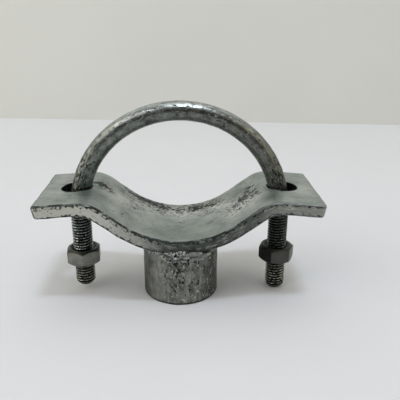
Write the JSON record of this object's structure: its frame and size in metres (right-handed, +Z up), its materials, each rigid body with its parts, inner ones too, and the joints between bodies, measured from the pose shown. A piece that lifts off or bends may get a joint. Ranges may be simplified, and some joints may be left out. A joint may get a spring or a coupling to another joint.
{
  "type": "pipe saddle clamp",
  "caption": "Galvanised pipe saddle: a bent flat bar with a round seat on a short welded tube stub, and a loose U-bolt with hexagon nuts that holds a pipe down in the seat.",
  "frame": {"origin": "centre of the tube stub's foot, where the part stands", "axes": "+X along the bar from the left ear to the right ear, +Y along the pipe away from the viewer, +Z up"},
  "size_m": [0.1346, 0.048, 0.0988],
  "materials": {
    "galvanised_bar": "hot-dip zinc, pale matte grey with dark scuffs",
    "galvanised_tube": "hot-dip zinc, speckled grey with upright streaks",
    "galvanised_weld": "hot-dip zinc over a lumpy weld",
    "galvanised_rod": "hot-dip zinc, mottled and rough, dark in the thread",
    "galvanised_nut": "spun zinc, smooth dark grey"
  },
  "bodies": {
    "support": {"saddle_strap": "galvanised_bar", "stub_tube": "galvanised_tube", "weld_bead": "galvanised_weld"},
    "u_bolt": {"u_bolt": "galvanised_rod"},
    "left_nut": {"left_nut": "galvanised_nut"},
    "right_nut": {"right_nut": "galvanised_nut"}
  },
  "joints": [
    {"name": "u_bolt_slide", "type": "slide", "parent": "support", "child": "u_bolt", "axis": [0, 0, 1], "range_m": [0, 0.0246]},
    {"name": "left_nut_turn", "type": "hinge", "parent": "u_bolt", "child": "left_nut", "pos_m": [-0.05, 0, 0.0198], "axis": [0, 0, 1], "continuous": true},
    {"name": "right_nut_turn", "type": "hinge", "parent": "u_bolt", "child": "right_nut", "pos_m": [0.05, 0, 0.0203], "axis": [0, 0, 1], "continuous": true}
  ]
}
